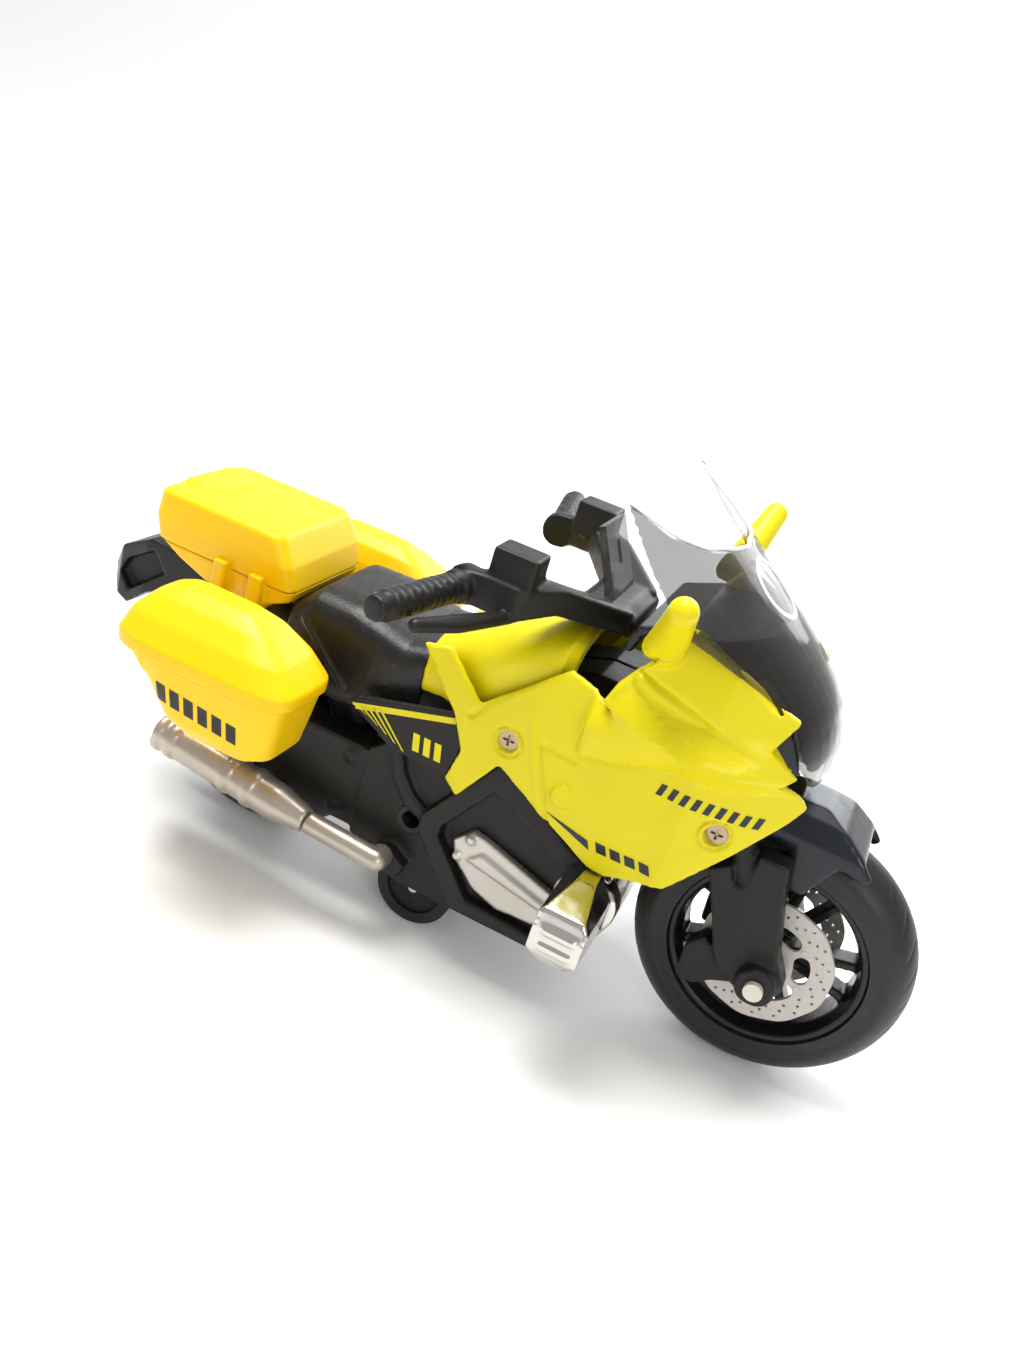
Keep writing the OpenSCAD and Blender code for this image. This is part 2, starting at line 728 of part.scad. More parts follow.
module circuit_board() {
    color("#1f7a4a") {
        box([-3, -10, 30], [28, 10, 31.2]);
        box([2, -5, 31.2], [9, 2, 32.6]);
        box([14, -3, 31.2], [18, 1, 32.4]);
        translate([23, 4, 31.2]) cylinder(r = 2.4, h = 5);
        box([20, -8, 31.2], [26, -4, 33.2]);
        // legs that stand the board on the battery
        for (x = [0, 24]) {
            box([x, -2, 12.4 + battery_h], [x + 2, 2, 30]);
        }
    }
}

module drive_motor() {
    color("#b9bcc0") difference() {
        union() {
            y_rod(motor_x, axle_z, motor_r, -7.4, 5.6);
            y_rod(motor_x, axle_z, 2, 5.6, 6.4);
        }
        y_rod(motor_x, axle_z, 0.8 + run_gap, -5.2, 8);
    }
}

module steering_coil() {
    color("#b5651d") on_fork() translate([0, 0, coil_w0]) difference() {
        cylinder(r = 4.6, h = coil_w1 - coil_w0);
        translate([0, 0, -1]) cylinder(r = 1.6, h = 10);
    }
}

module charge_socket() {
    color("#0d0d0e") {
        difference() {
            y_rod(socket_x, socket_z, socket_r, -case_y, -8.9);
            y_rod(socket_x, socket_z, socket_bore_r, -case_y - 1, -10);
        }
    }
}

module switch_housing() {
    color("#c7cacd") difference() {
        box([15.5, -13.2, 12.2], [24.5, -8.8, 15.6]);
        box([16.6, -12.1, 11], [23.4, -9.9, 14.4]);
    }
}

module switch_slider() {
    color("#101112") {
        box([17.3, -12, 12.4], [20.7, -10, 14.2]);
        box([18, -11.8, 9.4], [20, -10.2, 12.4]);
    }
}

// ---------- screws ----------

module screw(length) {
    difference() {
        union() {
            cylinder(r = screw_head_r, h = 1.2);
            translate([0, 0, -length]) cylinder(r = screw_r, h = length);
        }
        for (a = [0, 90]) {
            rotate([0, 0, a]) translate([-1.1, -0.25, 0.5]) cube([2.2, 0.5, 1]);
        }
    }
}

// Screws of the two fairings
module body_screws() {
    color("#b98a5a") for (s = [0, 1], x = screw_xs) {
        mirror([0, s, 0]) translate([x, -post_top(x), screw_z]) rotate([90, 0, 0]) screw(3);
    }
}

// ---------- steering ----------

module fork_leg() {
    difference() {
        union() {
            side_prism(leg_outline, -leg_y1, -leg_y0);
            side_prism(caliper_outline, -12.6, -8.3);
            y_rod(front_x, axle_z, 3.8, -boss_y1, -boss_y0);
            on_fork() translate([0, -fork_y, 14]) cylinder(r = fork_tube_r, h = bridge_w0 - 14);
        }
        y_rod(front_x, axle_z, front_axle_r + run_gap, -boss_y1 - 1, 0);
    }
}

module fork_leg_right() {
    color("#191a1c") fork_leg();
}

module fork_leg_left() {
    color("#191a1c") on_left() fork_leg();
}

module fork_bridge() {
    color("#191a1c") on_fork() {
        translate([-4, -14, bridge_w0]) cube([8, 28, bridge_w1 - bridge_w0]);
        translate([0, 0, bridge_w1]) cylinder(r = stem_r, h = stem_w1 - bridge_w1);
    }
}

module front_fender() {
    color("#18191b") difference() {
        intersection() {
            side_prism(fender_outline, -leg_y0 + 0.02, leg_y0 - 0.02);
            front_prism([[-9, 40], [-9, 54], [-7.6, 58], [-4, 60.2], [0, 60.7], [4, 60.2], [7.6, 58], [9, 54],
                [9, 40]], 50, 80);
        }
        y_rod(front_x, axle_z, wheel_r + 1.3, -7.5, 7.5, wheel_fn);
        side_prism(fender_hollow, -6.4, 6.4);
    }
}

module front_axle() {
    color("#d8c9b4") {
        y_rod(front_x, axle_z, front_axle_r, -boss_y1, boss_y1);
        y_rod(front_x, axle_z, 1.8, -axle_end_y, -boss_y1);
        y_rod(front_x, axle_z, 1.8, boss_y1, axle_end_y);
    }
}

module steering_magnet() {
    color("#8a8d92") on_fork() translate([0, 0, stem_w1]) cylinder(r = 3, h = magnet_w1 - stem_w1);
}

// ---------- wheels ----------

module tyre(x) {
    translate([x, 0, axle_z]) rotate([90, 0, 0]) rotate_extrude($fn = wheel_fn) intersection() {
        translate([wheel_r - crown_r, 0]) circle(r = crown_r);
        translate([rim_r, -tyre_side]) square([wheel_r - rim_r, tyre_w]);
    }
}

module rim(x, bore_r) {
    translate([x, 0, axle_z]) difference() {
        union() {
            rotate([90, 0, 0]) rotate_extrude($fn = wheel_fn) polygon([[rim_r, -6], [rim_r, 6],
                [rim_r - 1.4, 6], [rim_r - 2.4, 3.2], [rim_r - 2.4, -3.2], [rim_r - 1.4, -6]]);
            y_rod(0, 0, hub_r, -6.8, 6.8);
            for (i = [0:spoke_pairs - 1]) {
                rotate([0, i * 360 / spoke_pairs, 0]) side_prism(spoke_pair(), -2.4, 2.4);
            }
        }
        y_rod(0, 0, bore_r, -8, 8);
    }
}

// Outline of two spokes that part from one root
function spoke_pair() = let (c = cos(spoke_a), s = sin(spoke_a), a = hub_r - 1, b = rim_r - 2,
        h = spoke_h)
    [[a * c - h * s, a * s + h * c], [b * c - h * s, b * s + h * c],
     [b * c + h * s, b * s - h * c], [h / s, 0], [b * c + h * s, h * c - b * s],
     [b * c - h * s, -b * s - h * c], [a * c - h * s, -a * s - h * c]];

module front_tyre() {
    color("#1c1c1d") tyre(front_x);
}

module front_rim() {
    color("#121213") rim(front_x, front_axle_r + run_gap);
}

module front_discs() {
    color("#d3d2d0") for (s = [0, 1]) {
        mirror([0, s, 0]) translate([front_x, 0, axle_z]) difference() {
            y_rod(0, 0, disc_r, 6.82, 6.82 + disc_t, wheel_fn);
            y_rod(0, 0, front_axle_r + 0.4, 6, 9);
            for (a = [0:72:288]) {
                rotate([0, a, 0]) y_rod(6.6, 0, 1.7, 6, 9);
            }
        }
    }
}

module rear_tyre() {
    color("#1c1c1d") tyre(rear_x);
}

module rear_rim() {
    color("#121213") rim(rear_x, rear_axle_r);
}

module rear_axle() {
    color("#b9bcc0") y_rod(rear_x, axle_z, rear_axle_r, -arm_y1 - 0.4, arm_y1 + 0.4);
}

// ---------- gears ----------

// Spur gear on the Y axis; each tooth is a trapezium, thinned for backlash
module spur_gear(teeth, bore_r, turn) {
    pitch_r = gear_module * teeth / 2;
    step = 360 / teeth;
    root_r = pitch_r - 1.15 * gear_module;
    tip_r = pitch_r + 0.75 * gear_module;
    half_root = step * 0.3;
    half_tip = step * 0.12;
    outline = [for (i = [0:teeth - 1]) for (p = [[root_r, -half_root], [tip_r, -half_tip],
        [tip_r, half_tip], [root_r, half_root]]) let (a = i * step + p[1] + turn)
        [p[0] * cos(a), p[0] * sin(a)]];
    rotate([90, 0, 0]) linear_extrude(gear_w) difference() {
        polygon(outline);
        circle(r = bore_r);
    }
}

module gear_at(x, teeth, bore_r, turn) {
    translate([x, gear_y0 + gear_w, axle_z]) spur_gear(teeth, bore_r, turn);
}

module rear_gear() {
    color("#e9e6dc") gear_at(rear_x, axle_teeth, rear_axle_r, 180 / axle_teeth);
}

// Each gear starts with a gap where its neighbour has a tooth
module idler_gear_rear() {
    color("#e9e6dc") gear_at(idler_b_x, idler_teeth, gear_pin_r + run_gap, 0);
}

module idler_gear_front() {
    color("#e9e6dc") gear_at(idler_a_x, idler_teeth, gear_pin_r + run_gap, 180 / idler_teeth);
}

module motor_pinion() {
    color("#c9a24a") {
        gear_at(motor_x, pinion_teeth, 0.4, 0);
        y_rod(motor_x, axle_z, 0.8, -5, gear_y0 + gear_w);
    }
}

module gear_pins() {
    color("#c4c7ca") for (x = [idler_a_x, idler_b_x]) {
        y_rod(x, axle_z, gear_pin_r, arm_y0 + 0.1, bay_y1);
    }
}

// ---------- stabilisers ----------

module stabiliser_wheel(s) {
    y0 = stabiliser_y - stabiliser_w / 2;
    mirror([0, s, 0]) difference() {
        y_rod(stabiliser_x, stabiliser_z, stabiliser_r, y0, y0 + stabiliser_w, wheel_fn);
        y_rod(stabiliser_x, stabiliser_z, 1 + run_gap, 0, 20);
        y_rod(stabiliser_x, stabiliser_z, 6, y0 + stabiliser_w - 0.8, 20);
    }
}

module stabiliser_wheel_right() {
    color("#19191a") stabiliser_wheel(1);
}

module stabiliser_wheel_left() {
    color("#19191a") stabiliser_wheel(0);
}

module stabiliser_axle() {
    color("#b9bcc0") {
        y_rod(stabiliser_x, stabiliser_z, 1, -12.6, 12.6);
    }
}

// ---------- assembly ----------

chassis_right();
chassis_left();
steering_head();
gearbox_cover();
engine_cover_right();
engine_cover_left();
cylinder_head_right();
cylinder_head_left();
engine_front_cover();
fairing_right();
fairing_left();
front_cowl_right();
front_cowl_left();
windshield();
nose_liner();
headlight();
tank_cover();
side_trim_right();
side_trim_left();
seat();
tail_rail();
top_box_base();
top_box_lid();
pannier_case_right();
pannier_lid_right();
pannier_case_left();
pannier_lid_left();
exhaust_can();
exhaust_header();
handlebar();
instrument_panel();
battery();
battery_door();
circuit_board();
drive_motor();
steering_coil();
charge_socket();
switch_housing();
switch_slider();
gear_pins();
stabiliser_axle();
stabiliser_wheel_right();
stabiliser_wheel_left();
body_screws();
fork_leg_right();
fork_leg_left();
fork_bridge();
front_fender();
front_axle();
steering_magnet();
front_tyre();
front_rim();
front_discs();
rear_tyre();
rear_rim();
rear_axle();
rear_gear();
motor_pinion();
idler_gear_front();
idler_gear_rear();
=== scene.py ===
import json
import math

import bmesh
import bpy
from mathutils import Matrix, Vector
from mathutils.bvhtree import BVHTree


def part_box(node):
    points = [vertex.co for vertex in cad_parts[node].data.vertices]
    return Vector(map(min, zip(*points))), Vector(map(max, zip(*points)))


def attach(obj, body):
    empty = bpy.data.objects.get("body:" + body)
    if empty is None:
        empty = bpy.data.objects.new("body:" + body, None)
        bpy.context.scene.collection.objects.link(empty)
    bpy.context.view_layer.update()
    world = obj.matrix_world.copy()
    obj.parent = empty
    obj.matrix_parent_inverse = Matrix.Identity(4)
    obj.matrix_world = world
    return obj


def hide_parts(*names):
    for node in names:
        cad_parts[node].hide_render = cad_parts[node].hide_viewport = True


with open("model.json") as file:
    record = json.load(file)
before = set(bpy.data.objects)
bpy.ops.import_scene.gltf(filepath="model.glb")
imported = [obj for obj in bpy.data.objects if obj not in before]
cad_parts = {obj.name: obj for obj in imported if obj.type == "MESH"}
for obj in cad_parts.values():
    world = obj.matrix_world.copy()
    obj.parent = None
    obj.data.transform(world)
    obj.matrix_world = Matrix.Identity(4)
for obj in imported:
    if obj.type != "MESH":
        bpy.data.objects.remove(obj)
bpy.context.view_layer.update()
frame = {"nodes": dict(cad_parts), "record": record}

MM = 0.001
WELD = 0.002
cad = frame["nodes"]
record = frame["record"]
body_of = {n: b for b, ns in record["behaviour"]["bodies"].items() for n in ns}
slot_of = {s["node"]: s["material_slot"] for s in record["subparts"]}
front_axle = Vector((sum(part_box("front_rim")[i].x for i in (0, 1)) / 2, 0,
                     sum(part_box("front_rim")[i].z for i in (0, 1)) / 2))
rear_axle = Vector((sum(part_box("rear_rim")[i].x for i in (0, 1)) / 2, 0, front_axle.z))


# ---------- materials ----------

def shade(name, color, rough, metallic=0.0, grain=0.35, height=0.006, mottle=0.05, wear=0.2,
          spread=0.05, coat=0.0, coat_rough=0.08, alpha=1.0, edge=None, specular=0.5, ridged=False):
    """Procedural surface: mottled colour, uneven gloss, fine grain and paler worn edges."""
    mat = bpy.data.materials.new(name)
    mat.use_nodes = True
    tree = mat.node_tree
    tree.nodes.clear()

    def node(kind, **values):
        made = tree.nodes.new(kind)
        for key, value in values.items():
            made.inputs[key].default_value = value
        return made

    out = node("ShaderNodeOutputMaterial")
    skin = node("ShaderNodeBsdfPrincipled", Metallic=metallic, Alpha=alpha)
    skin.inputs["Specular IOR Level"].default_value = specular
    skin.inputs["Coat Weight"].default_value = coat
    skin.inputs["Coat Roughness"].default_value = coat_rough
    place = node("ShaderNodeTexCoord")
    patches = node("ShaderNodeTexNoise", Scale=70.0, Detail=4.0, Roughness=0.6)
    smears = node("ShaderNodeTexNoise", Scale=330.0, Detail=3.0, Roughness=0.65)
    fine = node("ShaderNodeTexVoronoi" if ridged else "ShaderNodeTexNoise", Scale=1 / (grain * MM))
    for texture in (patches, smears, fine):
        tree.links.new(place.outputs["Object"], texture.inputs["Vector"])

    tone = node("ShaderNodeMapRange")
    tone.inputs["To Min"].default_value = 1 - mottle
    tone.inputs["To Max"].default_value = 1 + mottle
    tree.links.new(patches.outputs["Fac"], tone.inputs["Value"])
    tint = node("ShaderNodeHueSaturation")
    tint.inputs["Color"].default_value = (*color, 1)
    tree.links.new(tone.outputs["Result"], tint.inputs["Value"])

    form = node("ShaderNodeNewGeometry")
    worn = node("ShaderNodeMapRange")
    worn.inputs["From Min"].default_value = 0.53
    worn.inputs["From Max"].default_value = 0.62
    worn.inputs["To Max"].default_value = wear
    tree.links.new(form.outputs["Pointiness"], worn.inputs["Value"])
    rub = node("ShaderNodeMix")
    rub.data_type = "RGBA"
    pale = edge or [min(1, c * 1.25 + 0.03) for c in color]
    rub.inputs[7].default_value = (*pale, 1)
    tree.links.new(worn.outputs["Result"], rub.inputs[0])
    tree.links.new(tint.outputs["Color"], rub.inputs[6])
    tree.links.new(rub.outputs[2], skin.inputs["Base Color"])

    gloss = node("ShaderNodeMapRange")
    gloss.inputs["From Min"].default_value = 0.3
    gloss.inputs["From Max"].default_value = 0.7
    gloss.inputs["To Min"].default_value = max(0.02, rough - spread)
    gloss.inputs["To Max"].default_value = min(1, rough + spread)
    tree.links.new(smears.outputs["Fac"], gloss.inputs["Value"])
    tree.links.new(gloss.outputs["Result"], skin.inputs["Roughness"])

    bump = node("ShaderNodeBump", Strength=1.0, Distance=height * MM)
    tree.links.new(fine.outputs["Distance" if ridged else "Fac"], bump.inputs["Height"])
    tree.links.new(bump.outputs["Normal"], skin.inputs["Normal"])
    tree.links.new(skin.outputs["BSDF"], out.inputs["Surface"])
    return mat


YELLOW = (0.60, 0.51, 0.002)
GOLD = (0.76, 0.48, 0.001)
look = {
    "body_yellow": shade("lemon_plastic", YELLOW, 0.34, height=0.002, mottle=0.03, wear=0.12,
                         specular=0.25),
    "box_yellow": shade("golden_plastic", GOLD, 0.36, height=0.002, mottle=0.03, wear=0.12,
                        specular=0.25),
    "black_plastic": shade("black_plastic", (0.010, 0.009, 0.008), 0.42, height=0.010, wear=0.5,
                           specular=0.22),
    "black_gloss": shade("black_gloss", (0.008, 0.010, 0.015), 0.24, height=0.002, coat=0.12,
                         specular=0.25),
    "seat_black": shade("seat_plastic", (0.009, 0.008, 0.007), 0.36, grain=0.45, height=0.05, wear=0.35,
                        spread=0.1, specular=0.3),
    "soft_black": shade("soft_black", (0.010, 0.010, 0.009), 0.62, height=0.01, specular=0.25),
    "silver_plastic": shade("silver_paint", (0.47, 0.44, 0.40), 0.36, metallic=0.6, height=0.003,
                            wear=0.3),
    "exhaust_silver": shade("exhaust_paint", (0.40, 0.35, 0.30), 0.36, metallic=0.75, height=0.004,
                            wear=0.3),
    "chrome_trim": shade("plated", (0.52, 0.50, 0.47), 0.18, metallic=1.0, height=0.003, spread=0.06),
    "smoked_clear": shade("smoked_clear", (0.016, 0.014, 0.013), 0.09, height=0.001, alpha=0.56,
                          coat=0.1, coat_rough=0.03, spread=0.03, specular=0.28),
    "clear_lens": shade("clear_lens", (0.75, 0.78, 0.8), 0.08, height=0.001, alpha=0.7, coat=0.5),
    "battery_wrap": shade("battery_wrap", (0.03, 0.09, 0.36), 0.28, height=0.004),
    "board_green": shade("solder_mask", (0.01, 0.13, 0.05), 0.35, height=0.004),
    "steel": shade("drawn_steel", (0.56, 0.56, 0.57), 0.28, metallic=1.0, height=0.004),
    "screw_steel": shade("screw_steel", (0.34, 0.26, 0.17), 0.34, metallic=0.9, height=0.004),
    "axle_beige": shade("axle_paint", (0.50, 0.47, 0.41), 0.42, metallic=0.4, height=0.008),
    "copper_wire": shade("copper_wire", (0.60, 0.27, 0.12), 0.32, metallic=0.9, height=0.02),
    "disc_grey": shade("disc_paint", (0.42, 0.39, 0.36), 0.42, metallic=0.2, height=0.004),
    "rim_black": shade("rim_black", (0.007, 0.007, 0.007), 0.30, height=0.003, wear=0.4, specular=0.3),
    "road_tyre": shade("tyre_rubber", (0.013, 0.012, 0.011), 0.44, grain=0.3, height=0.02, wear=0.4,
                        specular=0.3),
    "white_nylon": shade("white_nylon", (0.80, 0.79, 0.74), 0.45, height=0.004),
}


# ---------- mesh helpers ----------

def new_object(name, mesh):
    obj = bpy.data.objects.new(name, mesh)
    bpy.context.scene.collection.objects.link(obj)
    return obj


def baked(obj):
    """Replace an object's mesh by the result of its modifiers."""
    bpy.context.view_layer.update()
    mesh = bpy.data.meshes.new_from_object(obj.evaluated_get(bpy.context.evaluated_depsgraph_get()))
    old = obj.data
    obj.modifiers.clear()
    obj.data = mesh
    if isinstance(old, bpy.types.Mesh):
        bpy.data.meshes.remove(old)
    return obj


def smooth(obj, angle=None):
    mesh = obj.data
    mesh.shade_smooth()
    if angle is not None:
        mesh.set_sharp_from_angle(angle=math.radians(angle))
    return obj


def written(work, mesh):
    """Writes a closed shape into a mesh, with its faces turned outward."""
    bmesh.ops.recalc_face_normals(work, faces=work.faces)
    work.to_mesh(mesh)
    work.free()
    return mesh


def cad_mesh(node):
    """Closed copy of a CAD node's mesh."""
    mesh = cad[node].data.copy()
    mesh.name = node
    mesh.materials.clear()
    work = bmesh.new()
    work.from_mesh(mesh)
    bmesh.ops.remove_doubles(work, verts=work.verts, dist=WELD * MM)
    return written(work, mesh)


def moulded(node, voxel, rounds, sculpt=None, mesh=None):
    """Piece that stands for a CAD node, with the soft edges and draft of a moulding."""
    obj = new_object(node + "_moulded", mesh or cad_mesh(node))
    shell = obj.modifiers.new("remesh", "REMESH")
    shell.mode = "VOXEL"
    shell.voxel_size = voxel * MM
    soften = obj.modifiers.new("soften", "SMOOTH")
    soften.factor = 0.5
    soften.iterations = rounds
    baked(obj)
    if sculpt:
        for v in obj.data.vertices:
            v.co = sculpt(v.co.copy())
    return settle(smooth(obj), slot_of[node], body_of[node], node)


def lathe(name, profile, centre, steps, cut):
    """Closed ring about the Y axis through centre, from a closed profile of (radius, y)."""
    mesh = bpy.data.meshes.new(name)
    work = bmesh.new()
    rings = []
    for i in range(steps):
        angle = 2 * math.pi * i / steps
        ring = []
        for radius, y in profile:
            r = radius - cut(angle, radius, y)
            ring.append(work.verts.new((centre.x + r * MM * math.sin(angle), y * MM,
                                        centre.z + r * MM * math.cos(angle))))
        rings.append(ring)
    count = len(profile)
    for i in range(steps):
        here, after = rings[i], rings[(i + 1) % steps]
        for j in range(count):
            k = (j + 1) % count
            work.faces.new((here[j], here[k], after[k], after[j]))
    return new_object(name, written(work, mesh))


def ring_points(x, z, radius, steps, start=0.0, span=2 * math.pi):
    return [(x + radius * math.cos(start + span * i / steps),
             z + radius * math.sin(start + span * i / steps)) for i in range(steps)]


def prism(outlines, y0, y1):
    """Mesh of separate prisms along Y, from outlines in the XZ plane, in mm."""
    mesh = bpy.data.meshes.new("prism")
    work = bmesh.new()
    for points in outlines:
        near = [work.verts.new((x * MM, y0 * MM, z * MM)) for x, z in points]
        far = [work.verts.new((x * MM, y1 * MM, z * MM)) for x, z in points]
        work.faces.new(near)
        work.faces.new(far[::-1])
        for k in range(len(points)):
            n = (k + 1) % len(points)
            work.faces.new((near[n], near[k], far[k], far[n]))
    return written(work, mesh)


def plate(name, outlines, y0, y1):
    """Flat plate in the XZ plane, from y0 to y1 in mm, the first outline pierced by the others."""
    flat = new_object(name, prism(outlines[:1], y0, y1))
    cutter = new_object(name + "_cutter", prism(outlines[1:], y0 - 1, y1 + 1))
    pierce = flat.modifiers.new("pierce", "BOOLEAN")
    pierce.operation = "DIFFERENCE"
    pierce.solver = "EXACT"
    pierce.object = cutter
    baked(flat)
    bpy.data.objects.remove(cutter)
    return smooth(flat, 35)


def settle(obj, slot, body, *nodes):
    """Gives a piece its finish and its body, and hides the CAD nodes it stands for."""
    obj.data.materials.clear()
    obj.data.materials.append(look[slot])
    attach(obj, body)
    if nodes:
        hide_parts(*nodes)
    return obj


# ---------- shaping of the shells ----------

def spot(node, u, v):
    """Point of the side view, in mm, at fractions u and v of a node's box."""
    low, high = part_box(node)
    return (low.x + u * (high.x - low.x)) / MM, (low.z + v * (high.z - low.z)) / MM


def spots(node, *places):
    return [spot(node, u, v) for u, v in places]


def ease(t):
    """Smooth step from 0 to 1."""
    t = max(0.0, min(1.0, t))
    return t * t * (3 - 2 * t)


def bell(distance, width):
    """Smooth bump, 1 at distance 0."""
    return math.exp(-(distance / width) ** 2)


def beside(x, z, a, b):
    """Distance to the left of the line from a to b, and the place along it from 0 to 1."""
    dx, dz = b[0] - a[0], b[1] - a[1]
    length = math.hypot(dx, dz)
    left = ((z - a[1]) * dx - (x - a[0]) * dz) / length
    return left, ((x - a[0]) * dx + (z - a[1]) * dz) / length ** 2


def height_over(points, x):
    """Height of a line of points at x."""
    for (x0, z0), (x1, z1) in zip(points, points[1:]):
        if x <= x1:
            return z0 + (z1 - z0) * max(0.0, (x - x0) / (x1 - x0))
    return points[-1][1]


def pushed(field, reach=60.0):
    """Sculpting step that moves both sides outward by field(x, z), in mm, out to reach."""
    def move(co):
        x, y, z = (c / MM for c in co)
        amount = field(x, z) * (1 - ease((abs(y) - reach) / 1.5)) * ease((abs(y) - 8) / 3)
        return Vector((x, y + math.copysign(amount, y), z)) * MM
    return move


screw_dishes = spots("fairing_right", (0.29, 0.48), (0.83, 0.48))
rim_low, rim_high = spots("fairing_right", (0.43, 0.22), (0.37, 0.53))
lap_line = spots("fairing_right", (0.47, 0.61), (0.56, 0.66), (0.69, 0.75), (0.81, 0.73),
                 (0.93, 0.78))
fold_line = spots("fairing_right", (0.47, 0.80), (0.56, 0.83), (0.64, 0.83), (0.74, 0.86),
                  (0.93, 0.91))
roll_line = spots("fairing_right", (0.17, 0.55), (0.25, 0.81), (0.37, 1.02))
scoop_rear, scoop_front = spots("front_cowl_right", (0.26, 0.33), (0.83, 0.12))
DISH_R = 3.2
SHELL_LIFT, DISH_DEPTH, PANEL_DEPTH, RIM_HEIGHT = 0.55, 1.25, 0.85, 0.4
LAP_STEP, LAP_RISE, SCOOP_DEPTH, ROLL_DEPTH = 0.6, 2.2, 2.3, 1.2
MIRROR_Y, BEND_Y = 25.6, 26.5


def flank(x, z):
    """Relief of the fairing and cowl: screw dishes, sunk panel, overlapping cowl and its scoop."""
    out = SHELL_LIFT
    for cx, cz in screw_dishes:
        out -= DISH_DEPTH * ease((DISH_R - math.hypot(x - cx, z - cz)) / 0.9)
    lap, fold = height_over(lap_line, x), height_over(fold_line, x)
    behind, along = beside(x, z, rim_low, rim_high)
    under = ease((lap - z) / 0.6) if x > lap_line[0][0] else ease((lap_line[0][1] - z) / 3)
    out -= PANEL_DEPTH * ease(-behind / 0.6) * (1 - ease((x - 32) / 16)) * under
    out += RIM_HEIGHT * bell(behind - 0.9, 0.9) * ease((1.8 - along) / 0.4)
    if x > lap_line[0][0] - 1.4 and z > lap:
        front = 1 - 0.8 * ease((x - lap_line[3][0]) / 9)
        rear = ease((x - lap_line[0][0] + 1.4) / 1.4)
        rise = LAP_STEP * ease((z - lap) / 0.5) + LAP_RISE * ease((z - lap) / max(1.5, fold - lap))
        out += rise * front * rear * (1 - 0.75 * ease((z - fold) / 7))
    above, along = beside(x, z, scoop_rear, scoop_front)
    depth = (SCOOP_DEPTH * (1 - 0.7 * ease(along)) * ease((along + 0.12) / 0.15)
             * ease((1.1 - along) / 0.25))
    out -= depth * bell(above, 1.1 if above > 0 else 2.6)
    for a, b in zip(roll_line, roll_line[1:]):
        below, along = beside(x, z, a, b)
        if -0.1 < along < 1.1 and x < roll_line[-1][0]:
            out -= ROLL_DEPTH * (1 - ease(-below / 2.8)) ** 2
    return out


tank_hollow = spot("tank_cover", 0.46, 0.62)
tank_front = spot("tank_cover", 0.72, 0)[0]
cowl_rear = spots("front_cowl_right", (0.185, 0.19), (0.36, 0.56))
cowl_notch = spots("front_cowl_right", (0.973, 0.074), (0.857, 0.203), (0.926, 0.383))
seat_groove = spots("seat", (0.11, 0.73), (0.51, 0.23))
case_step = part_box("pannier_case_right")[0].x / MM + 5


def tank_side(x, z):
    """Shallow hollow that climbs forward along the side of the tank."""
    dx, dz = x - tank_hollow[0], z - tank_hollow[1]
    along, across = dx * 0.62 + dz * 0.78, dz * 0.62 - dx * 0.78
    return -1.3 * bell(along, 6.5) * bell(across, 3.4)


def seat_side(x, z):
    """Narrow groove down the side of the seat."""
    left, along = beside(x, z, *seat_groove)
    inside = ease(along / 0.05) * ease((1.02 - along) / 0.05)
    return -0.7 * bell(left, 0.5) * inside


def case_side(x, z):
    """Step in the side of a pannier, near its rear end."""
    return -0.4 * ease((case_step - x) / 0.5)


def cut_back(co):
    """Draws the rear top corner of the cowl forward, to the edge that runs up to the mirror."""
    x, z = co.x / MM, co.z / MM
    behind, along = beside(x, z, *cowl_rear)
    if behind > 0 and abs(co.y) < BEND_Y * MM:
        lean = (cowl_rear[1][0] - cowl_rear[0][0]) / (cowl_rear[1][1] - cowl_rear[0][1])
        edge = cowl_rear[0][0] + (z - cowl_rear[0][1]) * lean
        co.x = (edge - 0.12 * max(0, edge - x)) * MM
    return co


def notched(co):
    """Draws the front edge of the cowl back between its two tips."""
    x, z = co.x / MM, co.z / MM
    if cowl_notch[0][1] < z < cowl_notch[-1][1]:
        edge = height_over([(height, along) for along, height in cowl_notch], z)
        co.x = (edge + 0.1 * (x - edge)) * MM if x > edge else co.x
    return co


def tank_nose(co):
    """Shortens the front of the tank cover below the handlebar."""
    x = co.x / MM
    if x > tank_front:
        co.x = (tank_front + 0.35 * (x - tank_front)) * MM
    return co


OUTSIDE_Y, MISSED_Y = 70, 15


def surface(mesh):
    """Search tree over a mesh's faces."""
    work = bmesh.new()
    work.from_mesh(mesh)
    tree = BVHTree.FromBMesh(work)
    work.free()
    return tree


def projected(work, trees, side, lift):
    """Lays the flat vertices of a mesh onto the outermost of several surfaces."""
    for v in work.verts:
        start = Vector((v.co.x, side * OUTSIDE_Y * MM, v.co.z))
        found = [tree.ray_cast(start, Vector((0, -side, 0)))[0] for tree in trees]
        far = [abs(f.y) for f in found if f]
        v.co.y = side * (max(far) + lift * MM) if far else side * MISSED_Y * MM


def flat_mesh(outlines, cell):
    """Fine triangle mesh in the side plane, inside outlines given in mm."""
    work = bmesh.new()
    for points in outlines:
        work.faces.new([work.verts.new((x * MM, 0, z * MM)) for x, z in points])
    xs, zs = [x for o in outlines for x, z in o], [z for o in outlines for x, z in o]
    for values, normal in ((xs, Vector((1, 0, 0))), (zs, Vector((0, 0, 1)))):
        for i in range(1, int((max(values) - min(values)) / cell) + 1):
            bmesh.ops.bisect_plane(work, geom=work.verts[:] + work.edges[:] + work.faces[:],
                                   plane_co=normal * (min(values) + i * cell) * MM, plane_no=normal)
    bmesh.ops.triangulate(work, faces=work.faces)
    return work


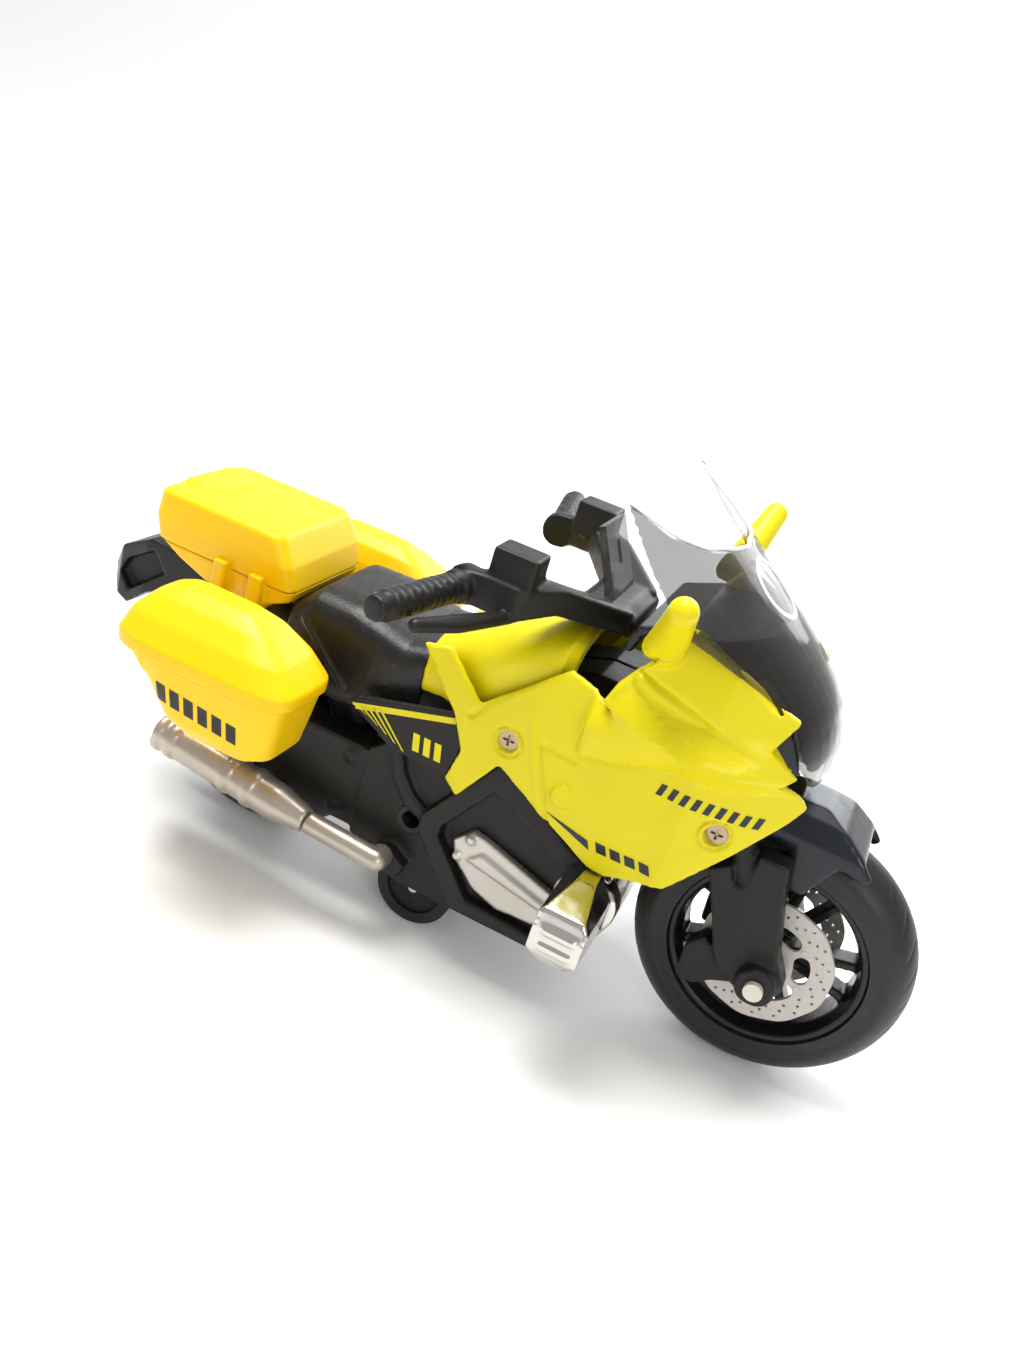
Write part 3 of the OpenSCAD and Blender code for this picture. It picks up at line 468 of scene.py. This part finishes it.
def thickened(work, side, mesh, depth=1.6):
    """Gives a laid sheet its thickness, inward, and adds it to a mesh."""
    moved = bmesh.ops.extrude_face_region(work, geom=work.faces[:])
    for v in moved["geom"]:
        if isinstance(v, bmesh.types.BMVert):
            v.co.y -= side * depth * MM
    bmesh.ops.recalc_face_normals(work, faces=work.faces)
    work.from_mesh(mesh)
    work.to_mesh(mesh)
    work.free()
    return mesh


TAUT_ROUNDS = 60


def skirt(name, cowl, fairing, side):
    """Lower flank of the cowl: a taut sheet laid over the cowl's edge and the fairing."""
    top = spots(cowl, (0.96, 0.10), (0.58, 0.13), (0.22, 0.25), (0.165, 0.0))
    work = flat_mesh([lap_line + top], 0.7)
    trees = [surface(made[n].data) for n in (cowl, fairing)]
    projected(work, trees, side, 0.16)
    rest = {v: abs(v.co.y) for v in work.verts}
    for v in work.verts:
        if v.co.z / MM > height_over(top[2::-1], v.co.x / MM) - 0.9:
            rest[v] -= 0.34 * MM
            v.co.y = side * rest[v]
    for turn in range(TAUT_ROUNDS):
        pull = {v: sum(abs(e.other_vert(v).co.y) for e in v.link_edges) / len(v.link_edges)
                for v in work.verts if not v.is_boundary}
        for v, y in pull.items():
            v.co.y = side * max(y, rest[v])
    mesh = thickened(work, side, bpy.data.meshes.new(name), 0.7)
    return settle(smooth(new_object(name, mesh), 40), "body_yellow", "chassis")


def cheek(name, cowl, side):
    """Dark lining behind the notch in the cowl's front edge, from the liner's material."""
    work = flat_mesh([spots(cowl, (1.0, 0.05), (0.80, 0.05), (0.80, 0.37), (0.90, 0.37))], 1.0)
    projected(work, [surface(cad[cowl].data)], side, -1.5)
    mesh = thickened(work, side, bpy.data.meshes.new(name), 0.6)
    return settle(smooth(new_object(name, mesh), 40), slot_of["nose_liner"], "chassis")


def filled(fairing, side):
    """Fairing mesh with its shallow scoop filled level with the panel around it."""
    outline = spots(fairing, (0.53, 0.40), (0.74, 0.48), (0.74, 0.60), (0.57, 0.58))
    work = flat_mesh([outline], 1.0)
    panel = surface(cad[fairing].data)
    lowest, highest = min(z for x, z in outline) - 0.4, max(z for x, z in outline) + 0.4
    for v in work.verts:
        below, above = (panel.ray_cast(Vector((v.co.x, side * OUTSIDE_Y * MM, z * MM)),
                                       Vector((0, -side, 0)))[0] for z in (lowest, highest))
        share = (v.co.z / MM - lowest) / (highest - lowest)
        v.co.y = below.y + (above.y - below.y) * share
    return thickened(work, side, cad_mesh(fairing))


def rounded_ring(x0, x1, half, corner, z):
    """Level rounded rectangle about the middle plane, in mm."""
    ring = []
    for cx, cy, start in ((x1 - corner, half - corner, 0), (x0 + corner, half - corner, 90),
                          (x0 + corner, corner - half, 180), (x1 - corner, corner - half, 270)):
        for i in range(9):
            a = math.radians(start + 90 * i / 8)
            ring.append((cx + corner * math.cos(a), cy + corner * math.sin(a), z))
    return ring


def loft(name, *stacks):
    """Closed mesh through stacks of rounded rectangles (z, x0, x1, half width, corner), in mm."""
    mesh = bpy.data.meshes.new(name)
    work = bmesh.new()
    for stack in stacks:
        rings = [[work.verts.new(Vector(p) * MM) for p in rounded_ring(x0, x1, half, corner, z)]
                 for z, x0, x1, half, corner in stack]
        count = len(rings[0])
        for low, high in zip(rings, rings[1:]):
            for i in range(count):
                k = (i + 1) % count
                work.faces.new((low[i], low[k], high[k], high[i]))
        work.faces.new(rings[0][::-1])
        work.faces.new(rings[-1])
    return written(work, mesh)


def box_lid():
    """Lid of the top box: tall flat faces, crisp rounded corners and a pad at the back."""
    low, high = (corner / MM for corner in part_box("top_box_lid"))
    top, rear, front, half = high.z - 0.9, low.x, high.x, high.y
    shell = ((low.z - 2.6, rear + 2.6, front + 0.3, half - 1.3, 2.2),
             (low.z + 2.0, rear + 1.4, front - 1.1, half - 0.9, 2.4),
             (top - 1.0, rear + 1.6, front - 4.0, half - 1.3, 2.6),
             (top - 0.3, rear + 2.1, front - 4.6, half - 1.9, 2.4),
             (top, rear + 3.2, front - 5.8, half - 3.2, 2.0))
    pad = ((top - 3, rear + 2.2, rear + 9.6, 8.4, 1.2), (top + 0.6, rear + 2.6, rear + 9.0, 8.0, 1.2),
           (top + 0.9, rear + 3.2, rear + 8.4, 7.4, 1.0))
    return loft("box_lid", shell, pad)


def box_base():
    """Base of the top box: a shallow hull with two posts on each side."""
    low, high = (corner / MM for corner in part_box("top_box_base"))
    seam, rear, front, half = high.z - 2.8, low.x, high.x, high.y - 1.8
    hull = ((low.z + 0.9, rear + 11.5, front - 6.0, half - 0.9, 2.0),
            (seam - 2.3, rear + 5.0, front - 0.9, half - 0.4, 2.4),
            (seam, rear + 1.2, front, half - 0.1, 2.4))
    posts = [((low.z, x, x + 3.0, high.y, 0.5), (seam + 1.7, x, x + 3.0, high.y, 0.5))
             for x in (rear + 15.4, rear + 23.6)]
    return loft("box_base", hull, *posts)


FILM_CELL, FILM_LIFT, FILM_DEPTH = 0.8, 0.06, 0.1


def film(name, outlines, target, side, slot):
    """Printed film that follows the side of a piece, from outlines in the side view, in mm."""
    mesh = bpy.data.meshes.new(name)
    work = flat_mesh(outlines, FILM_CELL)
    projected(work, [surface(target.data)], side, FILM_LIFT)
    work.to_mesh(mesh)
    work.free()
    obj = new_object(name, mesh)
    thick = obj.modifiers.new("thick", "SOLIDIFY")
    thick.thickness = FILM_DEPTH * MM
    thick.offset = 0
    return settle(smooth(baked(obj), 40), slot, "chassis")


def slanted_row(node, start, end, height, count, share, lean):
    """Row of slanted bars between two places on a node, a generic stand-in for a printed word."""
    a, b = spots(node, start, end)
    bars = []
    for i in range(count):
        x = a[0] + (b[0] - a[0]) * i / count
        z = a[1] + (b[1] - a[1]) * i / count
        wide = (b[0] - a[0]) / count * share
        drop = (b[1] - a[1]) / count * share
        bars.append([(x, z), (x + wide, z + drop), (x + wide + lean, z + drop + height),
                     (x + lean, z + height)])
    return bars


# ---------- wheels ----------

TREAD_CUTS, CUT_DEPTH = 30, 0.28
CROWN_R, STEP_R, STEP_DEPTH = 7.0, 20.9, 0.18
LATHE_STEPS = 552


def tread(angle, radius, y):
    """Depth of the slanted cuts in the tread."""
    side = abs(y)
    if side < 1.0 or side > 5.0 or radius < 23:
        return 0
    phase = (angle * TREAD_CUTS / (2 * math.pi) + side * 0.2 * (1 if y > 0 else -1)) % 1
    reach = min(1, (side - 1.0) / 0.8, (5.0 - side) / 0.8)
    return CUT_DEPTH * max(0, reach) * max(0, 1 - abs(phase - 0.5) / 0.09)


def build_tyre(node, centre):
    """Tyre with a round crown, flat sidewalls with one fine step, and cuts in the tread."""
    low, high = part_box(node)
    outer = (high.z - low.z) / 2 / MM
    half = (high.y - low.y) / 2 / MM - 0.02
    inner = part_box("front_rim")[1].z / MM - front_axle.z / MM
    profile = []
    for i in range(49):
        a = math.radians(-104 + 208 * i / 48)
        r = outer - CROWN_R + CROWN_R * math.cos(a)
        y = max(-half, min(half, CROWN_R * math.sin(a)))
        if r > inner + 0.05:
            dip = STEP_DEPTH * bell(r - STEP_R, 0.28)
            profile.append((r, y * (1 - dip / max(0.5, abs(y)))))
    profile += [(inner + 0.02, profile[-1][1]), (inner + 0.02, profile[0][1])]
    tyre = smooth(lathe(node + "_rubber", profile, centre, LATHE_STEPS, tread), 40)
    return settle(tyre, "road_tyre", body_of[node], node)


WINDOWS, WINDOW_IN, WINDOW_OUT, WINDOW_SPAN = 6, 5.4, 8.6, 0.40
DISC_T, AXLE_HOLE_R, HOLE_R, RIVET_AT = 0.8, 1.9, 0.3, 7.9


def kidney(x, z, inner, outer, start, span):
    """Bean-shaped window between two radii, with round ends."""
    middle, half = (inner + outer) / 2, (outer - inner) / 2
    far = ring_points(x, z, outer, 9, start, span)
    near = ring_points(x, z, inner, 9, start + span, -span)
    caps = []
    for at, turn in ((start + span, 0), (start, math.pi)):
        cx, cz = x + middle * math.cos(at), z + middle * math.sin(at)
        caps.append([(cx + half * math.cos(at + turn + math.pi * k / 7),
                      cz + half * math.sin(at + turn + math.pi * k / 7)) for k in range(1, 7)])
    return far + caps[0] + near + caps[1]


def build_disc(side):
    """Brake disc with a waved edge, bean-shaped windows, rows of small holes and rivets."""
    low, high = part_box("front_discs")
    outer = (high.z - low.z) / 2 / MM
    y0, y1 = (high.y / MM - DISC_T, high.y / MM) if side > 0 else (low.y / MM, low.y / MM + DISC_T)
    x, z = front_axle.x / MM, front_axle.z / MM
    edge = [(x + (outer - 0.25 * (0.5 + 0.5 * math.cos(10 * t))) * math.cos(t),
             z + (outer - 0.25 * (0.5 + 0.5 * math.cos(10 * t))) * math.sin(t))
            for t in (2 * math.pi * i / 180 for i in range(180))]
    outlines = [edge, ring_points(x, z, AXLE_HOLE_R, 24)]
    for row, radius in enumerate((11.8, 10.8, 9.8)):
        for i in range(18):
            a = 2 * math.pi * (i + row / 3) / 18
            outlines.append(ring_points(x + radius * math.cos(a), z + radius * math.sin(a), HOLE_R, 12))
    for i in range(WINDOWS):
        outlines.append(kidney(x, z, WINDOW_IN, WINDOW_OUT, 2 * math.pi * i / WINDOWS, WINDOW_SPAN))
    disc = plate("brake_disc_" + ("left" if side > 0 else "right"), outlines, y0, y1)
    work = bmesh.new()
    work.from_mesh(disc.data)
    for i in range(WINDOWS):
        a = 2 * math.pi * (i + 0.69) / WINDOWS
        place = Vector((x + RIVET_AT * math.cos(a), y1 if side > 0 else y0,
                        z + RIVET_AT * math.sin(a))) * MM
        turn = Matrix.Translation(place) @ Matrix.Rotation(math.pi / 2, 4, "X")
        bmesh.ops.create_cone(work, cap_ends=True, segments=12, radius1=0.75 * MM, radius2=0.6 * MM,
                              depth=0.3 * MM, matrix=turn)
    work.to_mesh(disc.data)
    work.free()
    return disc


# ---------- windshield ----------

BEAD_R, BEAD_SPAN, BEAD_STEPS = 0.42, 0.82, 36
RING_R, RING_W, RING_LIFT, RING_STEPS, RING_HEIGHT = 6.3, 0.9, 0.09, 60, 0.72
glass_low, glass_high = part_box("windshield")


def add_bead():
    """Rolled edge along the top of the windshield."""
    path = []
    for i in range(BEAD_STEPS + 1):
        across = BEAD_SPAN * glass_high.y * (2 * i / BEAD_STEPS - 1)
        near = [v.co for v in cad["windshield"].data.vertices if abs(v.co.y - across) < 1.6 * MM]
        crest = max(near, key=lambda c: c.z)
        path.append(Vector((crest.x, across, crest.z)))
    for turn in range(3):
        inside = [(a + b * 2 + c) / 4 for a, b, c in zip(path, path[1:], path[2:])]
        path = [path[0]] + inside + [path[-1]]
    curve = bpy.data.curves.new("bead", "CURVE")
    curve.dimensions = "3D"
    curve.bevel_depth = BEAD_R * MM
    curve.bevel_resolution = 3
    curve.use_fill_caps = True
    spline = curve.splines.new("POLY")
    spline.points.add(len(path) - 1)
    for point, place in zip(spline.points, path):
        point.co = (place.x, place.y, min(place.z, glass_high.z - 0.45 * MM), 1)
    line = new_object("bead_line", curve)
    bpy.context.view_layer.update()
    mesh = bpy.data.meshes.new_from_object(line.evaluated_get(bpy.context.evaluated_depsgraph_get()))
    bpy.data.objects.remove(line)
    settle(smooth(new_object("windshield_bead", mesh)), "clear_lens", "chassis")


def add_ring(skin):
    """Plain ring on the face of the windshield."""
    centre = Vector((0, 0, glass_low.z + RING_HEIGHT * (glass_high.z - glass_low.z)))
    centre.x = skin.ray_cast(Vector((0.2, 0, centre.z)), Vector((-1, 0, 0)))[0].x
    lower = skin.ray_cast(Vector((0.2, 0, centre.z - 4 * MM)), Vector((-1, 0, 0)))[0]
    lengthwise = (centre - lower).normalized()
    outward = Vector((lengthwise.z, 0, -lengthwise.x))
    work = bmesh.new()
    loops = []
    for radius, lift in ((RING_R, RING_LIFT), (RING_R, 0.0), (RING_R - RING_W, 0.0),
                         (RING_R - RING_W, RING_LIFT)):
        loop = []
        for i in range(RING_STEPS):
            a = 2 * math.pi * i / RING_STEPS
            way = Vector((0, 1, 0)) * math.cos(a) + lengthwise * math.sin(a)
            start = centre + way * radius * MM + outward * 20 * MM
            loop.append(work.verts.new(skin.ray_cast(start, -outward)[0] + outward * lift * MM))
        loops.append(loop)
    for near, far in zip(loops, loops[1:] + loops[:1]):
        for i in range(RING_STEPS):
            j = (i + 1) % RING_STEPS
            work.faces.new((near[i], near[j], far[j], far[i]))
    mesh = written(work, bpy.data.meshes.new("ring"))
    settle(smooth(new_object("windshield_ring", mesh), 40), "white_nylon", "chassis")


# ---------- camera, floor and lights ----------

def aim(obj, at):
    obj.rotation_euler = (Vector(at) - obj.location).to_track_quat("-Z", "Y").to_euler()


CAMERA_AT = (54, -197, 151)
CAMERA_TURNS = (15.3, 25.2, 17.4)
LENS = 36 * 1150 / 1365
SWEEP_Y, SWEEP_R, WALL_TOP = 0.7, 1.2, 5.0
ROOM_LIGHT = 0.62


def area_light(name, place, at, size, power, tint=(1, 1, 1), shape="SQUARE"):
    lamp_data = bpy.data.lights.new(name, "AREA")
    lamp_data.shape = shape
    lamp_data.size = size
    lamp_data.energy = power
    lamp_data.color = tint
    lamp = new_object(name, lamp_data)
    lamp.location = place
    aim(lamp, at)


def build_stage():
    """Camera at the photograph's angle, a pale floor that curves up into a wall, and soft light."""
    azimuth, elevation, roll = (math.radians(a) for a in CAMERA_TURNS)
    back = Vector((math.cos(elevation) * math.sin(azimuth), -math.cos(elevation) * math.cos(azimuth),
                   math.sin(elevation)))
    level = Vector((math.cos(azimuth), math.sin(azimuth), 0))
    upright = back.cross(level)
    right = level * math.cos(roll) + upright * math.sin(roll)
    up = upright * math.cos(roll) - level * math.sin(roll)
    camera_data = bpy.data.cameras.new("camera")
    camera_data.lens = LENS
    camera_data.clip_start = 0.01
    camera = new_object("camera", camera_data)
    turn = Matrix((right, up, back)).transposed().to_4x4()
    camera.matrix_world = Matrix.Translation(Vector(CAMERA_AT) * MM) @ turn
    bpy.context.scene.camera = camera

    floor = bpy.data.meshes.new("floor")
    work = bmesh.new()
    profile = [(-6.0, 0.0), (SWEEP_Y, 0.0)]
    profile += [(SWEEP_Y + SWEEP_R * math.sin(a), SWEEP_R * (1 - math.cos(a)))
                for a in (math.pi / 2 * i / 24 for i in range(1, 25))]
    profile += [(SWEEP_Y + SWEEP_R, WALL_TOP)]
    rows = [[work.verts.new((x, y, z)) for x in (-7.0, 7.0)] for y, z in profile]
    for near, far in zip(rows, rows[1:]):
        work.faces.new((near[0], near[1], far[1], far[0]))
    work.to_mesh(floor)
    work.free()
    ground = smooth(new_object("floor", floor))
    floor.materials.append(shade("pale_floor", (0.90, 0.90, 0.895), 0.75, mottle=0.008, height=0.001,
                                 wear=0))

    for name, place, size, power, tint in (
            ("overhead", (-0.16, 0.02, 0.70), 0.42, 6.4, (1.0, 0.985, 0.96)),
            ("front", (0.50, -0.55, 0.36), 0.30, 1.7, (1.0, 0.99, 0.98)),
            ("behind", (0.10, 0.55, 0.30), 0.40, 1.6, (0.93, 0.96, 1.0))):
        area_light(name, place, (0, 0, 0.04), size, power, tint, "DISK")
    area_light("wall_wash", (0, 0.75, 2.0), (0, 1.9, 0.6), 2.0, 26.0)
    world = bpy.data.worlds.new("soft_room")
    world.use_nodes = True
    background = world.node_tree.nodes["Background"]
    background.inputs["Color"].default_value = (1, 1, 1, 1)
    background.inputs["Strength"].default_value = ROOM_LIGHT
    bpy.context.scene.world = world
    bpy.context.scene.view_settings.view_transform = "Standard"


# ---------- the bike ----------

build_stage()

# Every CAD node starts with its finish; most visible ones are then rebuilt
for name, obj in cad.items():
    obj.data.materials.clear()
    obj.data.materials.append(look[slot_of[name]])

made = {}
for side, way in (("right", -1), ("left", 1)):
    fairing, cowl = "fairing_" + side, "front_cowl_" + side
    made[fairing] = moulded(fairing, 0.38, 6, pushed(flank, MIRROR_Y), mesh=filled(fairing, way))
    made[cowl] = moulded(cowl, 0.31, 6, lambda co: notched(pushed(flank, MIRROR_Y)(cut_back(co))))
    skirt("cowl_flank_" + side, cowl, fairing, way)
    cheek("liner_cheek_" + side, cowl, way)
made["tank_cover"] = moulded("tank_cover", 0.42, 6, lambda co: pushed(tank_side)(tank_nose(co)))
made["seat"] = moulded("seat", 0.36, 5, pushed(seat_side))
for side in ("right", "left"):
    made["pannier_case_" + side] = moulded("pannier_case_" + side, 0.4, 3, pushed(case_side))
    made["pannier_lid_" + side] = moulded("pannier_lid_" + side, 0.4, 4)
made["top_box_base"] = moulded("top_box_base", 0.34, 3, mesh=box_base())
made["top_box_lid"] = moulded("top_box_lid", 0.34, 3, mesh=box_lid())
for node, rounds in (("handlebar", 12), ("side_trim_right", 3), ("side_trim_left", 3),
                     ("fork_leg_right", 12), ("fork_leg_left", 12), ("front_fender", 18),
                     ("nose_liner", 6), ("engine_cover_right", 3), ("engine_cover_left", 3),
                     ("cylinder_head_right", 4), ("cylinder_head_left", 4), ("engine_front_cover", 4),
                     ("exhaust_can", 3), ("exhaust_header", 4), ("tail_rail", 4),
                     ("windshield", 8), ("fork_bridge", 3)):
    made[node] = moulded(node, 0.4, rounds)
for node in ("chassis_right", "chassis_left"):
    moulded(node, 0.5, 2)

build_tyre("front_tyre", front_axle)
build_tyre("rear_tyre", rear_axle)
for node in ("front_rim", "rear_rim"):
    moulded(node, 0.36, 3)
for disc in [build_disc(side) for side in (1, -1)]:
    settle(disc, "disc_grey", "front_wheel", "front_discs")

# Plain printed shapes where the toy carries its markings
for side, way in (("right", -1), ("left", 1)):
    trim, fairing, case = "side_trim_" + side, "fairing_" + side, "pannier_case_" + side
    rear, front = spot(trim, 0.05, 0.46), spot(trim, 0.90, 0.93)
    low = spot(trim, 0.55, 0.05)
    inner = [(x + 0.5, z - 1.1) for x, z in (rear, front)]
    bands = [[rear, inner[0], inner[1], front]]
    for i in range(5):
        t = i / 4
        top = [rear[j] + (front[j] - rear[j]) * (0.02 + 0.24 * t) for j in (0, 1)]
        foot = [rear[j] + (low[j] - rear[j]) * (0.30 + 0.68 * t) for j in (0, 1)]
        bands.append([(top[0], top[1] - 0.4), (foot[0], foot[1] + 0.3), (foot[0] + 0.5, foot[1] + 0.1),
                      (top[0] + 0.5, top[1] - 0.3)])
    for name, node, outlines, slot in (
            ("trim_stripes_", trim, bands, "body_yellow"),
            ("trim_bars_", trim,
             slanted_row(trim, (0.62, 0.16), (0.90, 0.16), 3.6, 3, 0.6, -0.6), "body_yellow"),
            ("fairing_swoosh_", fairing,
             [spots(fairing, (0.44, 0.21), (0.56, 0.17), (0.57, 0.12))], "black_gloss"),
            ("fairing_bars_", fairing,
             slanted_row(fairing, (0.59, 0.13), (0.74, 0.12), 1.9, 4, 0.7, -0.8), "black_gloss"),
            ("fairing_row_", fairing,
             slanted_row(fairing, (0.67, 0.59), (0.93, 0.57), 2.2, 9, 0.5, 0.5), "black_gloss"),
            ("case_bars_", case,
             slanted_row(case, (0.25, 0.44), (0.80, 0.30), 3.9, 6, 0.66, -0.2), "black_plastic")):
        film(name + side, outlines, made[node], way, slot)

add_bead()
add_ring(surface(made["windshield"].data))
